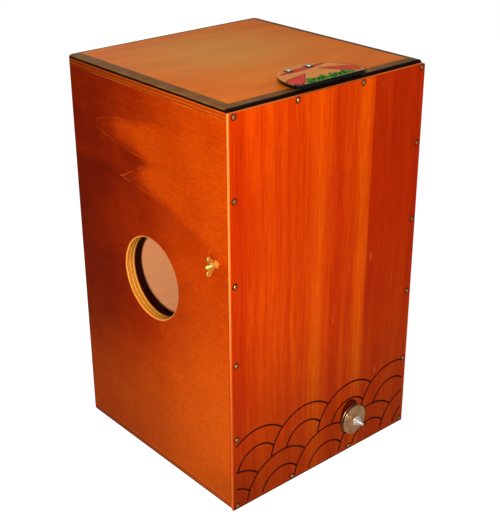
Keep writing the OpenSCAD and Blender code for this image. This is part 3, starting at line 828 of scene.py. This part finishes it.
MATS = {
    "face": face_material(),
    "side": side_material(),
    "seat": seat_material(),
    "base": base_material(),
    "back": back_material(),
    "plate": plate_material(),
    "rubber": rubber_material(),
    "spruce_x": solid_wood("spruce_cross", "x", *SPRUCE),
    "spruce_y": solid_wood("spruce_side", "y", *SPRUCE),
    "spruce_z": solid_wood("spruce_corner", "z", *SPRUCE),
    "bar": solid_wood("beech_bar", "x", rgb(206, 150, 96), rgb(172, 112, 66), 0.5),
    "strip": solid_wood("strip_wood", "x", rgb(94, 48, 26), rgb(52, 26, 15), 0.35),
    "brass": metal("worn_brass", rgb(252, 196, 84), rgb(120, 76, 22), 0.28, 320, (0.46, 0.66)),
    "screw": screw_material("brass_screw", "y", rgb(226, 176, 112), rgb(58, 30, 10), 1.0),
    "plate_screw": screw_material("plated_screw", "z", rgb(236, 232, 222), rgb(74, 62, 34), 0.0),
    "steel": metal("plated_steel", rgb(226, 224, 218), rgb(150, 144, 134), 0.16, 300, (0.5, 0.8)),
    "jingle": jingle_material(),
    "ink": paint("dark_brown_ink", rgb(46, 8, 0), rgb(66, 14, 1), 0.7),
    "ink_fill": paint("red_brown_ink", rgb(96, 14, 4), rgb(72, 10, 2)),
    "petal": paint("red_paint", rgb(206, 60, 44), rgb(184, 48, 34), 0.5, 0.1, True),
    "leaf": paint("green_paint", rgb(66, 128, 34), rgb(34, 90, 22)),
    "outline": paint("black_paint", rgb(40, 20, 10), rgb(60, 30, 14)),
}

NODE_MATS = {
    "face": ["playing_face"],
    "side": ["side_left", "side_right"],
    "seat": ["top_panel"],
    "base": ["bottom_panel"],
    "back": ["back_panel"],
    "spruce_x": ["rear_cross_battens"],
    "spruce_y": ["top_side_battens", "bottom_side_battens"],
    "spruce_z": ["rear_corner_battens"],
    "screw": ["face_screws", "back_screws"],
    "rubber": ["rubber_feet"],
    "plate": ["castanet_plate"],
    "strip": ["castanet_strip"],
    "plate_screw": ["castanet_screws"],
    "bar": ["snare_bar"],
    "steel": ["foot_screws", "jingle_washer", "jingle_outer_washer", "snare_screws"],
    "brass": ["snare_plate_left", "snare_plate_right", "washer_left", "washer_right",
              "wing_nut_left", "wing_nut_right"],
}


def bevel(node, width, segments=2):
    """Softens a CAD node's edges without touching its mesh."""
    obj = NODES[node]
    weld = obj.modifiers.new("weld", "WELD")
    weld.merge_threshold = 0.002 * MM
    mod = obj.modifiers.new("bevel", "BEVEL")
    mod.width = width
    mod.segments = segments
    mod.limit_method = "ANGLE"
    mod.angle_limit = math.radians(40)
    mod.harden_normals = True
    obj.data.attributes.remove(obj.data.attributes["custom_normal"])
    for polygon in obj.data.polygons:
        polygon.use_smooth = True


def cast_look(node):
    """Melts a CAD wing nut's hard edges together, as on a cast part."""
    obj = NODES[node]
    remesh = obj.modifiers.new("remesh", "REMESH")
    remesh.mode = "VOXEL"
    remesh.voxel_size = 0.26 * MM
    remesh.use_smooth_shade = True
    smooth = obj.modifiers.new("smooth", "SMOOTH")
    smooth.factor = 0.6
    smooth.iterations = 7


for key, nodes in NODE_MATS.items():
    for node in nodes:
        NODES[node].data.materials.clear()
        NODES[node].data.materials.append(MATS[key])

# width in mm and the nodes
BEVELS = {
    0.35: "playing_face side_left side_right back_panel",
    0.6: "rear_corner_battens rear_cross_battens top_side_battens bottom_side_battens",
    0.8: "snare_bar",
    0.12: "washer_left washer_right jingle_washer jingle_outer_washer snare_plate_left"
          " snare_plate_right",
}
for width, nodes in BEVELS.items():
    for node in nodes.split():
        bevel(node, width * MM)
bevel("rubber_feet", 1.1 * MM, 3)
bevel("castanet_plate", 0.7 * MM, 3)
cast_look("wing_nut_left")
cast_look("wing_nut_right")


# ---- jingle


def jingle_disc(name, node, outward):
    """Thin bronze disc with a rolled rim and a soft dome, on the CAD disc's place."""
    low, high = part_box(node)
    brim_y = high.y if outward else low.y
    place = frame_at((JINGLE_X, brim_y, JINGLE_Z), (0, -1 if outward else 1, 0))
    radius = (high.x - low.x) / 2
    sheet = 0.8 * MM
    rim_r = 0.35 * MM
    bore = 2.15 * MM
    dome_h = high.y - low.y - sheet
    dome_r, dome_power = 9.6 * MM, 1.15
    upper, lower = [], []
    steps = 30
    for i in range(steps + 1):
        r = bore + (radius - rim_r - bore) * i / steps
        rise = dome_h * max(0.0, 1 - (r / dome_r) ** 2) ** dome_power
        lower.append((r, rise))
        upper.append((r, rise + sheet))
    rim = [(radius - rim_r * (1 - math.sin(a)), sheet / 2 * (1 + math.cos(a)))
           for a in [math.pi * k / 8 for k in range(1, 8)]]
    piece(name, turned(upper + rim + lower[::-1], place), MATS["jingle"], node, node)


def jingle_stud():
    """Threaded stud with its hex head inside the case."""
    low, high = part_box("jingle_stud")
    head_h = high.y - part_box("jingle_washer")[1].y
    thread_r, pitch = 2.0 * MM, 0.7 * MM
    head = frame_at((JINGLE_X, high.y, JINGLE_Z), (0, -1, 0), (1, 0, 0))
    shape = merged([nut(head, (high.x - low.x) / 2, head_h, 0.9 * MM),
                    threaded_rod(head, high.y - low.y, thread_r, pitch)])
    piece("jingle_stud_threaded", shape, MATS["steel"], "case", "jingle_stud")


def jingle_nut(name, node):
    low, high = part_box(node)
    place = frame_at((JINGLE_X, high.y, JINGLE_Z), (0, -1, 0), (1, 0, 0))
    bore_r = 2.05 * MM
    shape = nut(place, (high.x - low.x) / 2, high.y - low.y, bore_r)
    piece(name, shape, MATS["steel"], "case", node)


jingle_disc("jingle_disc_back", "jingle_back", False)
jingle_disc("jingle_disc_front", "jingle_front", True)
jingle_stud()
jingle_nut("jingle_nut_inner", "jingle_lock_nut")
jingle_nut("jingle_nut_outer", "jingle_outer_nut")


# ---- snare


def bar_stud(name, node, outward):
    low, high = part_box(node)
    inner_x = low.x if outward > 0 else high.x
    place = frame_at((inner_x, BAR_Y, BAR_Z), (outward, 0, 0))
    thread_r, pitch = 2.5 * MM, 0.8 * MM
    shape = threaded_rod(place, high.x - low.x, thread_r, pitch)
    piece(name, shape, MATS["brass"], "snare", node)


def coil(start, end, coil_r, wire_r, turn, phase):
    """Closed coil spring of round wire from start to end."""
    per_turn, ring = 9, 5
    length = (end - start).length
    place = frame_at(start, end - start, (1, 0, 0))
    steps = int(length / turn * per_turn)
    verts = []
    for k in range(steps + 1):
        a = 2 * math.pi * k / per_turn + phase
        for b in turns(ring):
            r = coil_r + math.cos(b) * wire_r
            verts.append(round_point(place, r, a, length * k / steps + math.sin(b) * wire_r))
    faces = rings_to_faces(steps + 1, ring)
    faces.append(tuple(reversed(range(ring))))
    faces.append(tuple(range(steps * ring, (steps + 1) * ring)))
    return verts, faces


def snare_coils(name, node):
    """Nine coiled wires from the brass plate down to the inside of the face."""
    low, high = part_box(node)
    coil_r, wire_r = 0.68 * MM, 0.2 * MM
    outer_r = 0.9 * MM
    count, turn = 9, 1.7 * MM
    shapes = []
    pitch_x = (high.x - low.x - 2 * outer_r) / (count - 1)
    for i in range(count):
        x = low.x + outer_r + i * pitch_x
        start = Vector((x, high.y - outer_r, high.z - wire_r))
        end = Vector((x, low.y + outer_r, low.z + wire_r))
        shapes.append(coil(start, end, coil_r, wire_r, turn, i * 0.7))
    piece(name, merged(shapes), MATS["steel"], "snare", node)


bar_stud("bar_stud_left_threaded", "bar_stud_left", -1)
bar_stud("bar_stud_right_threaded", "bar_stud_right", 1)
snare_coils("snare_coils_left", "snare_wires_left")
snare_coils("snare_coils_right", "snare_wires_right")


# ---- drawing on the face


def arc_runs(centre, radius, covers, span, inside):
    """Stretches of an arc that no nearer disc covers and that stay inside the face."""
    runs, run = [], []
    start, end = span
    count = int(radius * (end - start) / (1.5 * MM))
    for k in range(count + 1):
        a = start + (end - start) * k / count
        u = centre[0] + radius * math.cos(a)
        v = centre[1] + radius * math.sin(a)
        hidden = any(math.hypot(u - cu, v - cv) < cr for cu, cv, cr in covers)
        if not hidden and inside(u, v):
            run.append((u, v))
        elif run:
            runs.append(run)
            run = []
    runs.append(run)
    return [run for run in runs if len(run) > 4]


def wave_drawing():
    """Two rows of big overlapping round waves drawn along the foot of the face."""
    line = 2.5 * MM
    margin = 4 * MM
    pitch = 78 * MM
    outer, inner = 57 * MM, 33 * MM
    upper_z, lower_z = JINGLE_Z - 6 * MM, FACE_LOW.z - 4 * MM
    waves = [(JINGLE_X + i * pitch, upper_z, outer) for i in range(-4, 2)]
    waves += [(JINGLE_X + (i + 0.5) * pitch, lower_z, outer) for i in range(-4, 2)]
    left, right, bottom = FACE_LOW.x + margin, FACE_HIGH.x - margin, FACE_LOW.z + margin

    def inside(u, v):
        return left < u < right and v > bottom

    tuck = math.radians(25)
    shapes = []
    for i, (u, v, radius) in enumerate(waves):
        for ring_r in (radius, inner):
            span = (-tuck, math.pi + tuck)
            for run in arc_runs((u, v), ring_r, waves[i + 1:], span, inside):
                shapes.append(ribbon(run, line, on_face))
    piece("face_wave_lines", merged(shapes), MATS["ink"], "case")


def jingle_spot():
    """Dark oval painted on the face behind the jingle, with a darker outline."""
    half_w, half_h, line = 15.2 * MM, 24.5 * MM, 2.4 * MM
    x, z = JINGLE_X + 0.7 * MM, JINGLE_Z - 0.5 * MM
    outline = [(x + half_w * math.cos(a), z + half_h * math.sin(a)) for a in turns(72)]
    piece("jingle_spot_fill", patch(outline, on_face), MATS["ink_fill"], "case")
    ring = ribbon(outline, line, on_face, True)
    piece("jingle_spot_outline", ring, MATS["ink"], "case")


wave_drawing()
jingle_spot()


# ---- painting on the castanet


def petal(start, end, width, blunt=1.0, cut=1.0):
    """Outline of a petal: widest past its middle when blunt is high, its end cut off square.

    Start and end are in mm to the right of the plate's middle and behind its front edge.
    """
    origin = Vector(((PLATE_LOW.x + PLATE_HIGH.x) / 2, PLATE_LOW.y))
    base, tip = origin + Vector(start) * MM, origin + Vector(end) * MM
    along = tip - base
    side = Vector((-along.y, along.x)).normalized() * width * MM / 2
    count = 20
    outline = []
    for direction in (1, -1):
        for k in range(count):
            t = cut * (k / count if direction > 0 else 1 - k / count)
            swell = math.sin(math.pi * t ** blunt) ** 0.75
            outline.append(kept_on_plate(base + along * t + side * swell * direction))
    return outline


def kept_on_plate(point):
    """Pulls a point back onto the flat of the plate's upper face."""
    edge = 1.4 * MM
    radius = (PLATE_HIGH.x - PLATE_LOW.x) / 2
    middle = Vector(((PLATE_LOW.x + PLATE_HIGH.x) / 2, PLATE_HIGH.y - radius))
    out = point - middle
    if out.length > radius - edge:
        point = middle + out.normalized() * (radius - edge)
    # and out from under the screw heads
    for side in (-1, 1):
        screw = Vector((PLATE_SCREW_MID.x + side * PLATE_SCREW_OFF, PLATE_SCREW_MID.y))
        off = point - screw
        if off.length < PLATE_SCREW_R + edge:
            point = screw + off.normalized() * (PLATE_SCREW_R + edge)
    return point.x, max(point.y, PLATE_LOW.y + edge)


def castanet_painting():
    """Plain fan of red petals over green leaves along the straight edge."""
    petals = [petal((-11.5, 33), (-60.5, 5), 20, 1.7, 0.84), petal((-39.5, 45), (35.5, 51.5), 8.5),
              petal((15.5, 41), (56.5, 6), 18, 1.5, 0.9)]
    line = 0.9 * MM
    fill = [patch(outline, on_plate) for outline in petals]
    lines = [ribbon(outline, line, on_plate, True) for outline in petals]
    leaves = []
    first_x, pitch, foot, lean, width = -34.5, 6.6, 1, 6, 9
    for i in range(11):
        x = first_x + pitch * i
        tall = 8 + 10 * abs(math.sin(1.9 * i))
        leaves.append(patch(petal((x, foot), (x + lean, foot + tall), width), on_plate))
    piece("castanet_petals", merged(fill), MATS["petal"], "castanet")
    piece("castanet_outlines", merged(lines), MATS["outline"], "castanet")
    piece("castanet_leaves", merged(leaves), MATS["leaf"], "castanet")


castanet_painting()


# ---- light, floor and camera


def is_camera_ray(tree):
    return tree.nodes.new("ShaderNodeLightPath").outputs["Is Camera Ray"]


def world():
    """Even pale surroundings that look white in the picture and light the object softly."""
    background = bpy.data.worlds.new("studio")
    bpy.context.scene.world = background
    background.use_nodes = True
    tree = background.node_tree
    shade = tree.nodes["Background"]
    shade.inputs[0].default_value = (1.0, 1.0, 1.0, 1.0)
    strength = tree.nodes.new("ShaderNodeMapRange")
    strength.inputs["To Min"].default_value = 0.3
    strength.inputs["To Max"].default_value = 1.0
    tree.links.new(is_camera_ray(tree), strength.inputs["Value"])
    tree.links.new(strength.outputs[0], shade.inputs[1])


def floor():
    """White paper that shows only a faint shadow."""
    reach = 9.0
    mesh = bpy.data.meshes.new("floor")
    mesh.from_pydata([(-reach, -reach, 0), (reach, -reach, 0), (reach, reach, 0), (-reach, reach, 0)],
                     [], [(0, 1, 2, 3)])
    obj = put("floor", mesh)
    g = Graph("pale_floor")
    white = 0.86
    glow = g.times(is_camera_ray(g.tree), white)
    mesh.materials.append(g.finish(rgb(170, 170, 170), 0.9, Specular_IOR_Level=0.0,
                                   Emission_Color=(1, 1, 1, 1), Emission_Strength=glow))


def lamp(name, place, size, power):
    data = bpy.data.lights.new(name, "AREA")
    data.shape = "DISK"
    data.size = size
    data.energy = power
    obj = put(name, data)
    obj.location = place
    toward = Vector((0, 0, 0.25)) - Vector(place)
    obj.rotation_euler = toward.to_track_quat("-Z", "Y").to_euler()


def camera(place, angles, lens):
    """Camera at the photographed viewing angle: azimuth, elevation and a small roll in degrees."""
    azimuth, elevation, roll = (math.radians(v) for v in angles)
    back = Vector((math.sin(azimuth) * math.cos(elevation),
                   -math.cos(azimuth) * math.cos(elevation), math.sin(elevation)))
    right = (-back).cross(Vector((0, 0, 1))).normalized()
    up = right.cross(-back)
    c, s = math.cos(roll), math.sin(roll)
    data = bpy.data.cameras.new("camera")
    data.sensor_width = 36
    data.lens = lens
    cam = put("camera", data)
    matrix = Matrix((right * c + up * s, up * c - right * s, back)).transposed().to_4x4()
    matrix.translation = place
    cam.matrix_world = matrix
    bpy.context.scene.camera = cam
    return right, up


def studio():
    world()
    floor()
    eye = Vector((-0.8171, -0.9561, 0.8331))
    right, up = camera(eye, (-40.82, 25.38, -0.21), 73.89)
    # a small flash beside the camera, a wide soft lamp above, and a soft one behind
    lamp("flash", eye - right * 0.095 - up * 0.022, 0.025, 26)
    lamp("soft_top", (0.3, 0.3, 2.0), 1.5, 6)
    lamp("soft_back", (1.0, 2.4, 0.5), 1.0, 4)
    bpy.context.scene.view_settings.view_transform = "Standard"


studio()

bpy.context.view_layer.update()
